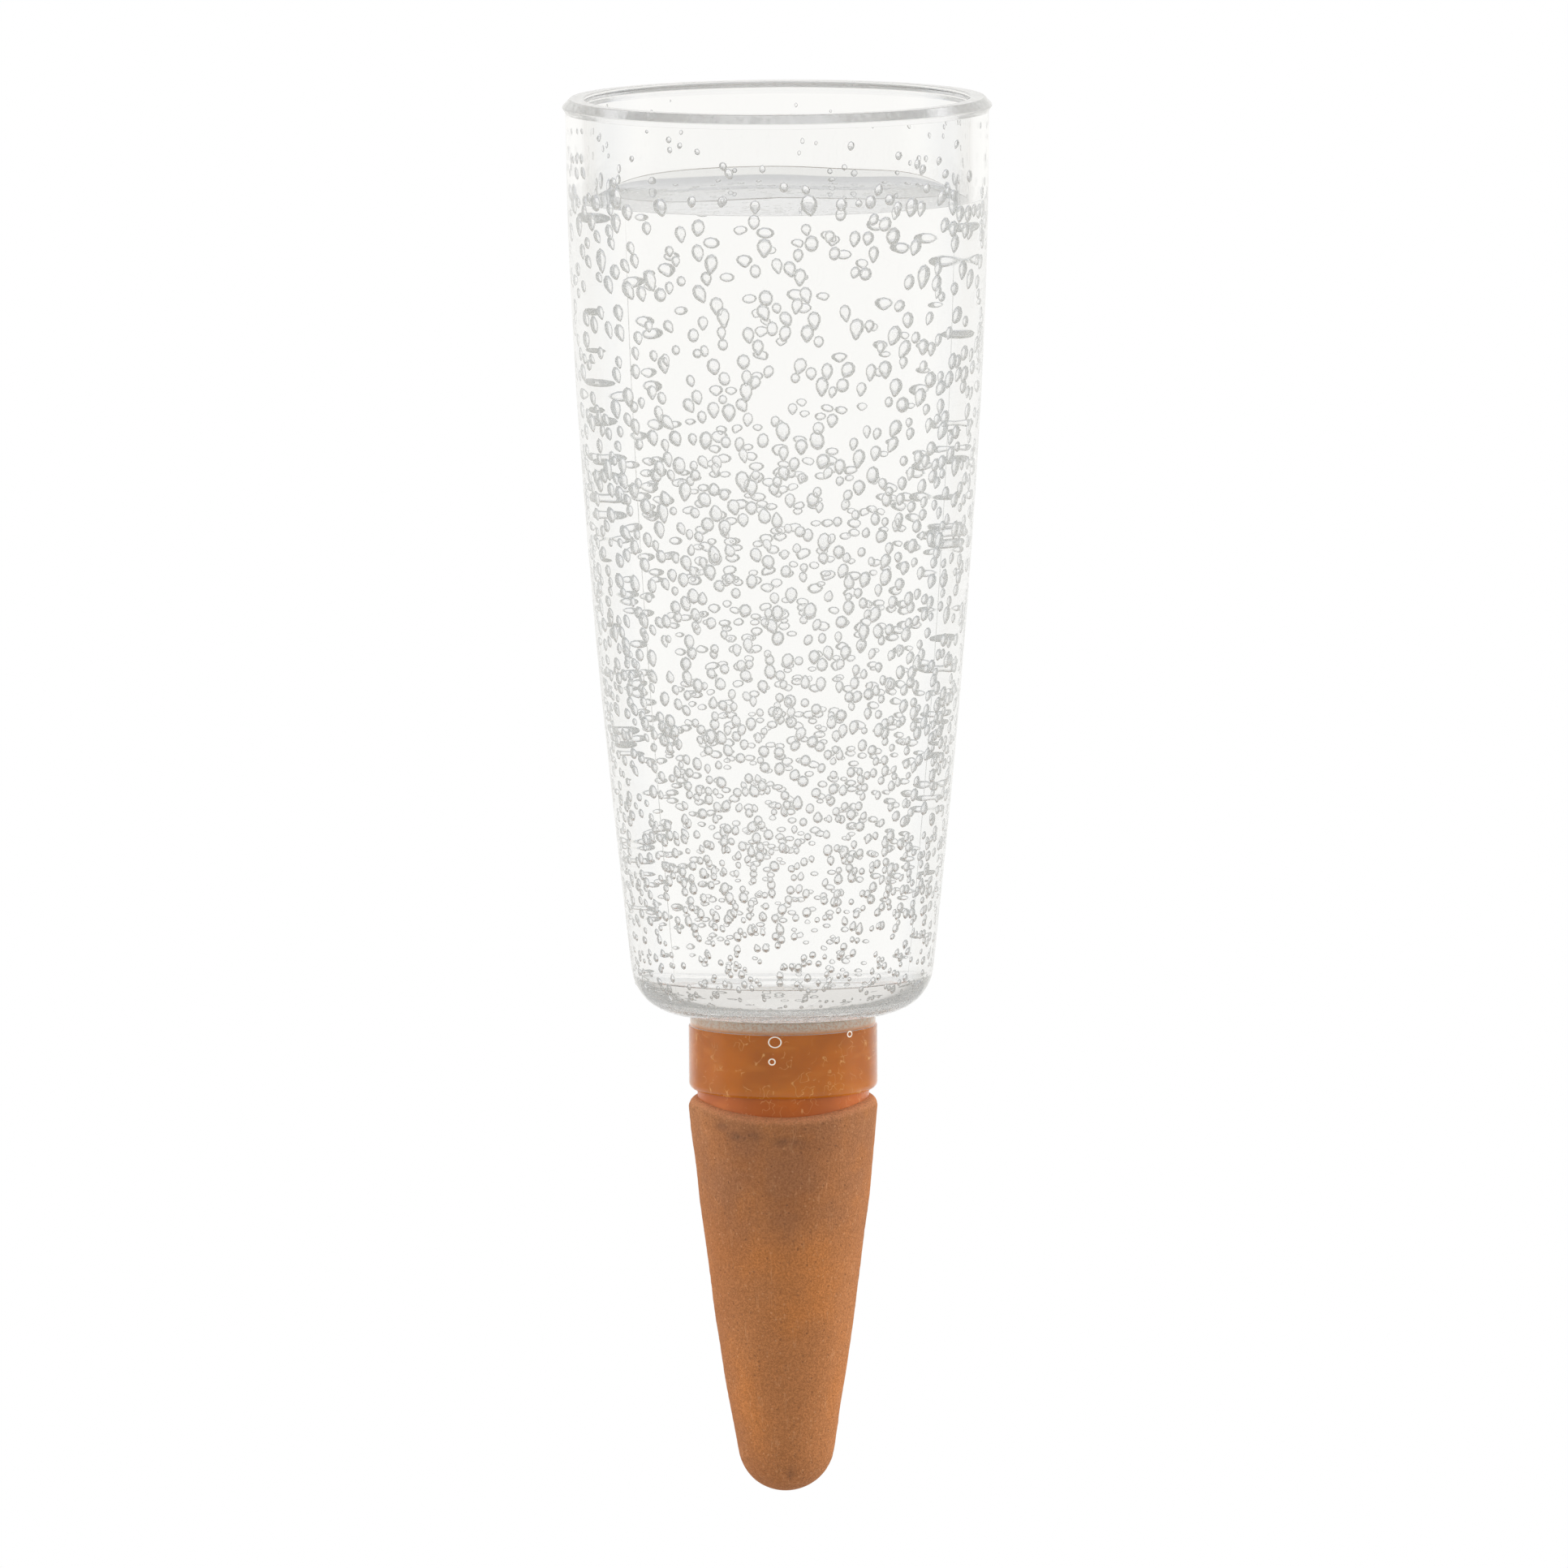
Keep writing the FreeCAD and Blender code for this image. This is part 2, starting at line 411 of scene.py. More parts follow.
clearValues = {
    # how much it bends light, its colour, its roughness beside and on the handling marks, and their scale
    "clearPlastic": (plasticIor, plasticColour, (0.0, 0.03), 60.0),
    "clearPlasticUnderWater": (plasticIor / waterIor, plasticColour, (0.0, 0.02), 60.0),
    "clearPlasticFoot": (plasticIor, plasticColour, (0.0, 0.03), 60.0),
    "clearPlasticSugar": (plasticIor, (1.0, 0.975, 0.945, 1), (0.1, 0.3), 1500.0),
    "clearPlasticRim": (plasticIor, (0.93, 0.925, 0.91, 1), (0.1, 0.14), 400.0),
    "waterSurface": (waterIor, (0.76, 0.765, 0.77, 1), (0.0, 0.01), 20.0),
    "waterEdgePaintedDark": (waterIor, (0.12, 0.1, 0.08, 1), (0.0, 0.01), 20.0),  # painted shade: the meniscus's top rings against the wall are tinted near black, for the dark of the room it mirrors
}


def sideRadius(height, foot, top, footRadius, topRadius):
    # The wall's line: a smooth curve through the shares of its height and of its widening
    heights = foot + (top - foot) * np.array(reservoirValues["heightShares"])
    radii = footRadius + (topRadius - footRadius) * np.array(reservoirValues["wideningShares"])
    return cubicLine(heights, radii, np.asarray(height))


def outerRadius(height):
    v = reservoirValues
    return sideRadius(height, v["undersideHeight"], v["wallTopHeight"], v["baseRadius"], v["topRadius"])


def innerRadius(height):
    v = reservoirValues
    foot = outerRadius(v["floorHeight"]) - v["wall"]
    return sideRadius(height, v["floorHeight"], v["rimHeight"], foot, v["topRadius"] - v["wall"])


def wallShape(points, normals):
    # The moulded wall is a hair off true: waves along the normal that fade towards the foot and the rim. And
    # where the wall isn't wetted, the water's edge slides down it, by a share of its height over the level.
    v, w, height = reservoirValues, waterValues, points[..., 2]
    ring = v["ring"]
    foot, top = v["floorHeight"] + 2 * v["floorCorner"], v["rimHeight"] - 2 * ring
    within = smoothStep(height, foot - ring, foot + ring) * smoothStep(height, top + ring, top - ring)
    off = v["waviness"] * within * waves(points, v["waveSeed"], v["waveLengths"])
    points = points + normals * off[..., None]
    reach, over = np.maximum(np.hypot(points[..., 0], points[..., 1]), tiny), height - w["level"]
    share = w["creepFront"] + (1 - w["creepFront"]) * smoothStep(points[..., 1] / reach, *w["creepFrom"])
    edge = (over > 0) & (over < w["creep"] + near) & (reach < innerRadius(height) + v["wall"] / 2)
    low = np.where(edge, w["level"] + over * share, height)
    narrower = innerRadius(low) / innerRadius(height)
    return np.stack([points[..., 0] * narrower, points[..., 1] * narrower, points[..., 2] + low - height], -1)


def reservoirOutline(v):
    # Anticlockwise from the socket's mouth: up the outside, over the rim and down through the drain
    ring, room, edge = v["ring"], v["cornerRoom"], v["edgeRound"]
    neckFoot, neckTop, neckEnd = v["neckRounds"]
    undercut, rimEdge, rimFlat, rimInside = v["rimRounds"]
    drainTop, drainFoot, seatTop = v["drainRounds"]
    creepTop = waterValues["level"] + waterValues["creep"]
    outside = np.arange(v["undersideHeight"] + room * v["baseCorner"], v["wallTopHeight"] - ring, ring)
    inside = np.arange(v["floorHeight"] + room * v["floorCorner"], v["rimHeight"] - ring, ring)
    inside = np.append(inside[np.abs(inside - creepTop) > ring / 2], creepTop)
    inside = np.sort(inside)[::-1]
    return roundedOutline([
        (v["socketRadius"], v["lipHeight"], v["mouthRound"]),
        (v["socketRadius"], v["seatHeight"], neckFoot),
        (v["neckRadius"], v["seatHeight"], neckTop),
        (v["neckRadius"], v["undersideHeight"], neckEnd),
        (v["baseRadius"], v["undersideHeight"], v["baseCorner"]),
        *((r, z, 0) for r, z in zip(outerRadius(outside), outside)),
        (v["topRadius"], v["wallTopHeight"], undercut),
        (v["rimRadius"], v["rimEdgeHeight"], rimEdge),
        (v["rimFlatRadius"], v["rimHeight"], rimFlat),
        (v["topRadius"] - v["wall"], v["rimHeight"], rimInside),
        *((r, z, 0) for r, z in zip(innerRadius(inside), inside)),
        (float(innerRadius(v["floorHeight"])), v["floorHeight"], v["floorCorner"]),
        (v["drainRadius"], v["floorHeight"], drainTop),
        (v["drainRadius"], v["undersideHeight"], drainFoot),
        (v["seatBore"], v["undersideHeight"], seatTop),
        (v["seatBore"], v["seatHeight"], edge),
        (v["socketBore"], v["seatHeight"], edge),
        (v["socketBore"], v["lipHeight"], edge),
    ])


def isWet(outline):
    # The stretch of the reservoir's outline that the water touches, from the end of its creep to the seat
    inside = np.arange(len(outline)) > np.argmax(outline[:, 1])
    level = waterValues["level"] + waterValues["creep"]
    return inside & (outline[:, 1] <= level + tiny) & (outline[:, 1] > reservoirValues["seatHeight"] + tiny)


def waterOutline(w, shellOutline):
    # From the middle of the flat foot, up the wetted wall, and back over the free surface. At height h above
    # the level the surface stands off the wall by a (arcosh(2a/h) - arcosh(2a/H)) - sqrt(4aa - hh) +
    # sqrt(4aa - HH), with a the capillary length and H the whole creep.
    wet = shellOutline[isWet(shellOutline)][::-1]
    along = unit(np.gradient(wet, axis=0))
    side = wet + w["skin"] * np.stack([-along[:, 1], along[:, 0]], 1)
    twice, top = 2 * w["capillary"], w["creep"]
    first, second = w["creepTop"]
    h = np.append(top - first, np.geomspace(top - second, top / w["creepFoot"], w["creepRings"]))
    off = twice / 2 * (np.arccosh(twice / h) - np.arccosh(twice / top)) - np.sqrt(twice**2 - h**2)
    off = off + math.sqrt(twice**2 - top**2)
    curved = np.stack([side[-1, 0] - off, w["level"] + h], 1)
    inward = np.linspace(curved[-1, 0], 0, w["flatRings"])[1:]
    flat = np.stack([inward, np.full(len(inward), w["level"])], 1)
    outward = np.linspace(0, side[0, 0], w["footRings"])[:-1]
    foot = np.stack([outward, np.full(len(outward), side[0, 1])], 1)
    return np.concatenate([foot, side, curved, flat]), len(foot), len(side)


def clearMaterial(name, paintedShade=False):
    # Clear and polished, with handling marks that only show in the gloss. Where it is shaded, a duller
    # colour, painted shade, sets in between two heights, and less of it towards the back.
    material, tree = newMaterial(name)
    place = objectPlace(tree)
    ior, colour, roughness, marks = clearValues[name]
    if paintedShade:
        v, at = reservoirValues, put(tree, "SeparateXYZ", {0: place}).outputs
        start, full = v["dimFrom"]
        front = span(tree, at["Y"], v["neckRadius"] * mm, -v["neckRadius"] * mm, v["dimBack"], 1.0)
        # painted shade: the duller colour low on the foot, more of it at the front than at the back
        colour = cover(tree, colour, v["footShadeColour"], span(tree, at["Z"], start * mm, full * mm), front)
    finishMaterial(tree, "BsdfPrincipled", {
        "Base Color": colour,
        "Roughness": span(tree, patchMask(tree, place, marks), 0.0, 1.0, *roughness),
        "IOR": ior,
        "Transmission Weight": 1.0,
    })
    return material


def makeShell(v):
    outline = reservoirOutline(v)
    shell = turnedPiece("reservoirShell", outline, v["turns"], wallShape)
    kinds = ("", "UnderWater", "Foot", "Sugar", "Rim")
    through, tree = newMaterial("waterSide")
    finishMaterial(tree, "BsdfTransparent")
    clear = [clearMaterial("clearPlastic" + kind, paintedShade=kind == "Foot") for kind in kinds]
    dress(shell, "reservoir", *clear, through, slot="clear_plastic", nodes=["reservoir"])

    def between(rows):
        return rows & np.roll(rows, -1)

    r, z = outline.T
    aboveNeck = z > v["undersideHeight"] - near
    outside = aboveNeck & (r > v["neckRadius"] - near)
    drain = aboveNeck & (z < v["floorHeight"] + near) & (r < v["drainRadius"] + v["drainRounds"][0] + near)
    rim = (z > v["wallTopHeight"] - v["rimSkirt"]) & (r > v["topRadius"] - v["wall"] / 2)
    sugar = outside & (z < v["sugarHeight"])
    wet = between(isWet(outline))
    foot = between(outside & (z < v["dimFrom"][0] + v["ring"])) & ~wet
    # each ring takes a material by its place in the list above, and what is left stays dry
    rings = np.select([between(drain), between(rim), between(sugar), foot, wet], [5, 4, 3, 2, 1], 0)
    byRing(shell, rings, v["turns"])
    return outline, through


def makeWater(w, shellOutline, through):
    # The wet wall already bends the light, so the water's own sides let it straight through
    outline, footRings, sideRings = waterOutline(w, shellOutline)
    water = turnedPiece("waterFill", outline, w["turns"], wallShape)
    foot, tree = newMaterial("waterFoot")
    dust = grainTone(tree, objectPlace(tree), w["limeScale"])
    finishDust(tree, mixed(tree, dust, w["lime"], w["limeLight"]))
    # the edge material is painted shade: a near-black tint on the meniscus against the wall
    surface, edge = clearMaterial("waterSurface"), clearMaterial("waterEdgePaintedDark")
    dress(water, "reservoir", through, surface, foot, edge, slot="clear_plastic")
    ring = np.arange(len(outline) - 3) + 1
    top = footRings + sideRings - 1
    rings = np.select([ring < footRings, ring < top, ring < top + w["edgeRings"]], [2, 0, 3], 1)
    byRing(water, np.append(rings, [2, 1]), w["turns"])


# Lime in the neck ring: water that seeped in over the seal has dried to pale crumbs
limeValues = {
    "reach": 20.5,
    "thick": 0.2,
    "heights": (17.75, 20.3),
    "step": 0.8,
    "lowShare": 0.45,  # of that height
    "low": tone(248, 176, 112),
    "high": tone(255, 244, 228),
    "crumb": tone(238, 196, 158),
    "crumbScale": 1400.0,
    "crumbTo": 0.8,  # the grain's tone from which a crumb no longer shows
    "crumbShare": 0.75,
}


def makeLime(v):
    low, high = v["heights"]
    inner, outer = v["reach"] - v["thick"] / 2, v["reach"] + v["thick"] / 2
    corners = [(inner, low, 0), (outer, low, 0), (outer, high, 0), (inner, high, 0)]
    ring = turnedPiece("limeRing", roundedOutline(corners, longest=v["step"]), reservoirValues["turns"])
    material, tree = newMaterial("dryLime")
    place = objectPlace(tree)
    height = put(tree, "SeparateXYZ", {0: place}).outputs["Z"]
    pale = low + (high - low) * v["lowShare"]
    colour = mixed(tree, span(tree, height, low * mm, pale * mm), v["low"], v["high"])
    crumbs = span(tree, grainTone(tree, place, v["crumbScale"]), 0.0, v["crumbTo"], v["crumbShare"], 0.0)
    finishDust(tree, mixed(tree, crumbs, colour, v["crumb"]))
    dress(ring, "reservoir", material)


# Air bubbles cast into the plastic
bubbleValues = {
    "seed": 41,
    "angles": (0, 16, 36, 66, 100, 138, 180, 222, 260, 294, 324, 344),  # round a bubble, from its tip
    "tilts": (-68, -34, 0, 34, 68),  # over its rounded rim, from one face to the other
    "tipWidth": 0.42,
    "tipped": 0.8,  # how many have a tip
    "skin": 0.15,  # plastic left between a bubble and the wall's faces
    "sizes": (0.65, 1.12),
    "longer": (1.0, 1.3),
    "lean": 0.4,  # how far the tips turn to the middle of the front
    "leanSpread": 0.2,
    "besideStep": (1.5, 2.3),  # how far apart two neighbours sit, counted in their radius
    "meet": 0.95,  # the share of both radii within which two of them would meet
    "rearSize": 0.6,
    "rearDeg": (105, 150),
    "bareDeg": (80, 105),
    "edge": (0.9, 0.9, 0.885, 1),  # painted shade: the grey tint at a bubble's edge, where the light skims it
    "edgeShadeFrom": (0.15, 0.6),
    "usual": {"crowd": 1.0, "flat": (0.6, 0.85), "tip": (0.0, 0.35), "pointUp": 0.2, "bareBack": 0.0},
    "zones": {
        "bubblesRim": {"count": 95, "heights": (213, 231), "crowd": 1.3, "radii": (1.35, 0.6),
                       "rim": 0.95, "tip": (0.0, 0.3), "beside": 0.1},
        "bubblesUpper": {"count": 1750, "heights": (150, 214), "crowd": 1.3, "radii": (1.6, 1.8),
                         "flat": (0.55, 0.8), "rim": 0.8, "tip": (0.15, 0.5), "beside": 0.5,
                         "pointUp": 0.0, "bareBack": 0.55},
        "bubblesMiddle": {"count": 2500, "heights": (90, 150), "radii": (1.3, 1.6), "flat": (0.55, 0.8),
                          "rim": 0.85, "tip": (0.05, 0.35), "beside": 0.35},
        "bubblesLower": {"count": 2600, "heights": (44, 90), "radii": (1.0, 1.32),
                         "rim": 0.9, "beside": 0.3, "pointUp": 0.5},
        "bubblesFoot": {"count": 560, "heights": (27.0, 44), "radii": (0.7, 0.98), "flat": (0.6, 0.9),
                        "rim": 1.0, "tip": (0.0, 0.5), "beside": 0.2, "pointUp": 0.85},
    },
    "plate": {"count": 1500, "reach": (5.8, 32.5), "deep": 3.6, "radii": (0.18, 0.5), "room": 1.15,
              "flat": (0.5, 0.9), "rim": 1.0},
}


def bubblePiece(name, centre, axes, radius, flat, rim, tip, longer):
    # One bubble per row of the arrays: a disc with a rounded rim. At angle a round it and tilt b over its rim
    # it reaches radius * g(a) * (1 - rim + rim cos b) along its first two axes and radius * flat * sin b
    # along its third, where g swells by the tip's length towards a = 0. Then its second is drawn longer.
    v = bubbleValues
    a, b = np.radians(v["angles"])[None, None, :], np.radians(v["tilts"])[None, :, None]
    size, thick, tip = (x[:, None, None] for x in (radius, flat, tip))
    turn = (a + math.pi) % (2 * math.pi) - math.pi
    bump = tip * np.exp(-((turn / v["tipWidth"]) ** 2))
    g, slope = 1 + bump, -2 * turn / v["tipWidth"] ** 2 * bump
    reach, side, down = g * (1 - rim + rim * np.cos(b)), np.sin(a), np.cos(a)
    points = size[..., None] * np.stack([reach * side, -reach * down, thick * np.sin(b) + 0 * reach], -1)
    outward = thick * np.cos(b) / rim
    aside = -outward * slope / g
    across, upright = outward * side + aside * down, aside * side - outward * down
    normals = unit(np.stack([across, upright, g * np.sin(b)], -1))

    count, rings = len(radius), len(v["tilts"]) * len(v["angles"])
    poles, poleNormals = np.zeros((count, 2, 3)), np.zeros((count, 2, 3))
    poles[:, 0, 2], poles[:, 1, 2] = -radius * flat, radius * flat
    poleNormals[:, 0, 2], poleNormals[:, 1, 2] = -1, 1
    drawn = np.stack([1 + 0 * longer, longer, 1 + 0 * longer], 1)[:, None]
    points = np.concatenate([points.reshape(count, rings, 3), poles], 1) * drawn
    normals = unit(np.concatenate([normals.reshape(count, rings, 3), poleNormals], 1) / drawn)
    points = np.einsum("nvi,nij->nvj", points, axes) + centre[:, None]
    normals = np.einsum("nvi,nij->nvj", normals, axes)

    index = np.arange(rings).reshape(len(v["tilts"]), -1)
    quads = bandFaces(index[:-1], index[1:])
    foot = np.stack([np.full(len(v["angles"]), rings), np.roll(index[0], -1), index[0]], -1)
    top = np.stack([np.full(len(v["angles"]), rings + 1), index[-1], np.roll(index[-1], -1)], -1)
    start = np.arange(count)[:, None, None] * (rings + 2)
    faces = []
    for shape in (quads, foot, top):
        faces += (shape + start).reshape(-1, shape.shape[1]).tolist()
    return meshPiece(name, points.reshape(-1, 3), faces, normals.reshape(-1, 3))


def inWall(angle, height, radius, slope, depth, lean):
    # Place and axes in an upright wall: angle is from the front, radius is the wall's middle, slope its
    # widening, depth goes outwards from its middle, and lean turns the axes in its plane
    out = np.stack([np.sin(angle), -np.cos(angle), 0 * angle], -1)
    across = np.stack([np.cos(angle), np.sin(angle), 0 * angle], -1)
    up = unit(out * slope[:, None] + np.array([0, 0, 1.0]))
    outward = np.cross(across, up)
    turn, lift = np.cos(lean)[:, None], np.sin(lean)[:, None]
    axes = np.stack([across * turn + up * lift, up * turn - across * lift, outward], 1)
    centre = out * radius[:, None] + outward * depth[:, None]
    centre[:, 2] += height
    return centre, axes


def apart(spots, radius, depth, flat):
    # Of each two bubbles that would meet, the later one is left out
    flatways = np.linalg.norm(spots[:, None] - spots[None], axis=-1)
    across = np.abs(depth[:, None] - depth[None]) / np.maximum(flat[:, None], flat[None])
    meet = np.hypot(flatways, across) < bubbleValues["meet"] * (radius[:, None] + radius[None])
    return ~np.triu(meet, 1).any(0)


def wallSlope(height):
    return (outerRadius(height + 1) - outerRadius(height - 1)) / 2


def scatterInWall(rng, zone):
    v, count = bubbleValues, zone["count"]
    low, high = zone["heights"]
    first, last = zone["radii"]
    height = low + (high - low) * rng.random(count) ** zone["crowd"]  # above 1, more of them lie low
    angle = rng.uniform(-math.pi, math.pi, count)
    size = rng.uniform(*v["sizes"], count)
    # some sit beside an earlier one, so that they gather in small groups
    beside = (rng.random(count) < zone["beside"]) & (np.arange(count) > count // 2)
    other, way = rng.integers(0, count // 2, count), rng.uniform(0, 2 * math.pi, count)
    step = rng.uniform(*v["besideStep"], count) * (first + last) / 2
    height = np.where(beside, np.clip(height[other] + step * np.sin(way), low, high), height)
    angle = np.where(beside, angle[other] + step * np.cos(way) / outerRadius(height), angle)
    rear = np.abs((angle + math.pi) % (2 * math.pi) - math.pi)
    size = size * (1 - (1 - v["rearSize"]) * smoothStep(rear, *np.radians(v["rearDeg"])))
    radius = size * (first + (last - first) * (height - low) / (high - low))
    flat = rng.uniform(*zone["flat"], count)
    room = np.maximum(reservoirValues["wall"] / 2 - radius * flat - v["skin"], 0)
    depth = rng.uniform(-1, 1, count) * room
    tip = rng.uniform(*zone["tip"], count) * (rng.random(count) < v["tipped"])
    lean = -v["lean"] * np.sin(angle) + rng.normal(0, v["leanSpread"], count)
    lean = lean + math.pi * (rng.random(count) < zone["pointUp"])
    longer = rng.uniform(*v["longer"], count)
    keep = apart(np.stack([angle * outerRadius(height), height], 1), radius * (1 + longer) / 2, depth, flat)
    keep &= rng.random(count) > zone["bareBack"] * smoothStep(rear, *np.radians(v["bareDeg"]))
    middle = outerRadius(height) - reservoirValues["wall"] / 2
    centre, axes = inWall(angle, height, middle, wallSlope(height), depth, lean)
    return [x[keep] for x in (centre, axes, radius, flat)] + [zone["rim"], tip[keep], longer[keep]]


def scatterInPlate(rng, zone):
    # In the thick bottom, whose faces rise with the roundings of the foot
    v, count = reservoirValues, zone["count"]
    nearest, furthest = zone["reach"]
    reach = np.sqrt(rng.uniform(nearest**2, furthest**2, count))
    angle, radius = rng.uniform(-math.pi, math.pi, count), rng.uniform(*zone["radii"], count)
    flat = rng.uniform(*zone["flat"], count)
    beyond = np.clip(reach - (v["baseRadius"] - v["baseCorner"]), 0, v["baseCorner"])
    under = v["undersideHeight"] + (v["baseCorner"] - np.sqrt(v["baseCorner"] ** 2 - beyond**2))
    over = np.minimum(under + zone["deep"], v["floorHeight"])
    room = zone["room"] * radius + bubbleValues["skin"]
    height = under + room + rng.random(count) * np.maximum(over - under - 2 * room, 0)
    centre = np.stack([reach * np.sin(angle), -reach * np.cos(angle), height], 1)
    axes = np.broadcast_to(np.eye(3), (count, 3, 3))
    keep = apart(centre, radius, 0 * radius, flat)
    tip, longer = np.zeros(keep.sum()), np.ones(keep.sum())
    return [x[keep] for x in (centre, axes, radius, flat)] + [zone["rim"], tip, longer]


def makeBubbles(v):
    rng = np.random.default_rng(v["seed"])
    air, tree = newMaterial("airInPlastic")
    # painted shade: the air's glass is tinted grey where it faces away, at each bubble's edge
    edgeShade = span(tree, put(tree, "LayerWeight", {"Blend": 0.5}).outputs["Facing"], *v["edgeShadeFrom"])
    colour = mixed(tree, edgeShade, (1, 1, 1, 1), v["edge"])
    finishMaterial(tree, "BsdfGlass", {"Color": colour, "Roughness": 0.0, "IOR": 1 / plasticIor})
    clouds = {name: scatterInWall(rng, {**v["usual"], **zone}) for name, zone in v["zones"].items()}
    clouds["bubblesBottom"] = scatterInPlate(rng, v["plate"])
    for name, cloud in clouds.items():
        dress(bubblePiece(name, *cloud), "reservoir", air, slot="clear_plastic")
        print(name, len(cloud[0]), "bubbles")
    return air


# Pale rings on the socket where bubbles sit: a painted highlight of the bubbles' rims
ringValues = {
    # how far to the right, height, half the width, and half the height as a share of that
    "marks": ((-1.9, 16.2, 1.45, 0.84), (-2.6, 11.6, 0.72, 0.95), (15.5, 17.2, 0.7, 0.9)),
    "thick": 0.16,
    "flat": 0.4,
    "sunk": 0.02,
    "turns": 40,
    "sideDeg": 30,
    "colour": tone(255, 244, 226),
    "roughness": 0.25,
}


def makeRings(v):
    tube = np.radians(np.arange(0, 360, v["sideDeg"]))
    # painted highlight: the rings' pale colour
    pale, tree = newMaterial("paintedRingHighlight")
    finishMaterial(tree, "BsdfPrincipled", {"Base Color": v["colour"], "Roughness": v["roughness"]})
    middle = reservoirValues["socketRadius"] - v["sunk"]
    zero = np.zeros(1)
    for number, (x, height, reach, share) in enumerate(v["marks"]):
        outline = np.stack([reach + v["thick"] * np.cos(tube), v["thick"] * np.sin(tube)], 1)
        centre, axes = inWall(zero + math.asin(x / middle), zero + height, zero + middle, zero, zero, zero)

        def pressed(points, normals):
            return points * [1, share, v["flat"]] @ axes[0] + centre[0]

        dress(turnedPiece(f"ringBubble{number + 1}", outline, v["turns"], pressed), "reservoir", pale)


# Mould seams: where the halves of the mould met, a hair-thin gap runs up the wall
seamValues = {
    "sidesDeg": (-47.5, 58.5),  # from the front
    "heights": (27.5, 209.0),
    "width": 0.28,
    "thick": 0.05,
    "rows": 70,
    "taper": (12, 0.05),  # how fast it widens from both ends, and what is left there
}


def makeSeams(v, air):
    # A four-sided section, wide along the wall and thin across it, carried up the wall's middle and drawn to
    # nothing at both ends
    share = np.linspace(0, 1, v["rows"])
    low, high = v["heights"]
    height = low + (high - low) * share
    zero = 0 * height
    steep, least = v["taper"]
    width = v["width"] / 2 * np.clip(np.minimum(share, 1 - share) * steep, least, 1)
    corners = np.array([[1, 0, 0], [0, 0, -1.0], [-1, 0, 0], [0, 0, 1.0]])
    sized = corners[None] * np.stack([width, zero, zero + v["thick"] / 2], 1)[:, None]
    middle = outerRadius(height) - reservoirValues["wall"] / 2
    index = np.arange(v["rows"] * 4).reshape(-1, 4)
    points, normals, faces = [], [], []
    for side in v["sidesDeg"]:
        centre, axes = inWall(zero + math.radians(side), height, middle, wallSlope(height), zero, zero)
        points.append((np.einsum("nvi,nij->nvj", sized, axes) + centre[:, None]).reshape(-1, 3))
        normals.append(np.einsum("vi,nij->nvj", corners, axes).reshape(-1, 3))
        faces += bandFaces(index[:-1], index[1:]).tolist() + [index[0, ::-1].tolist(), index[-1].tolist()]
        index = index + index.size
    seams = meshPiece("mouldSeams", np.concatenate(points), faces, np.concatenate(normals))
    dress(seams, "reservoir", air, slot="clear_plastic")


# Seal
sealValues = {
    "outer": 20.02,  # pressed onto the socket, with no air between them
    "bore": 18.8,
    "flangeBore": 17.0,
    "height": 17.6,
    "flangeHeight": 16.8,
    "pressed": 0.02,  # how far the flange bites into the seat
    "foot": -1.9,  # the lip reaches down to the lowest stretch of the clay's uneven shoulder
    "mouth": 2.6,
    "outerRounds": (0.12, 0.4, 0.15),  # at the foot, at the top and at the flange
    "edgeRound": 0.1,
    "turns": 180,
    "rubber": tone(190, 100, 28),
    "light": tone(208, 126, 58),
    "dark": tone(174, 90, 26),
    "scratch": tone(226, 170, 120),
    "paintedLightInSocket": (1.55, 1.9, 1.42),  # painted light: how much each primary is brightened on the stretch behind the plastic
    "onLip": (0.93, 0.87, 0.75),  # and how each is scaled on the lip below it, darker and deeper in colour
    "lipGloss": 0.35,
    "cloud": (90.0, 0.35, 0.7),  # scale of its patches, and the values where they start and are full
    "streak": (120.0, 0.52, 0.75),
    "streakTurnDeg": 35,
    "streakStretch": (1.0, 1.0, 4.0),
    "streakShare": 0.3,
    "hair": {"Scale": 460.0, "Width": 0.018, "Rare": 0.5},
    "hairShare": 0.65,
    "roughness": (0.34, 0.24),
    "dents": {"scale": 260.0, "deep": 0.00008, "strength": 0.4},
    "glow": {"Subsurface Weight": 0.06, "Subsurface Scale": 0.002, "Subsurface Radius": (1.0, 0.4, 0.15)},
    "chalk": tone(226, 208, 186),
    "chalkDark": tone(170, 120, 78),
    "chalkGrain": 1500.0,
    "chalkPatches": (400.0, 0.4, 0.6),
    "chalkRoughness": (0.5, 0.8),
    "chalkDepth": 0.15,  # how far it reaches down from the flange's top
    "chalkWithin": 17.8,  # and it lies on the flange's inner edge too, within this radius
}


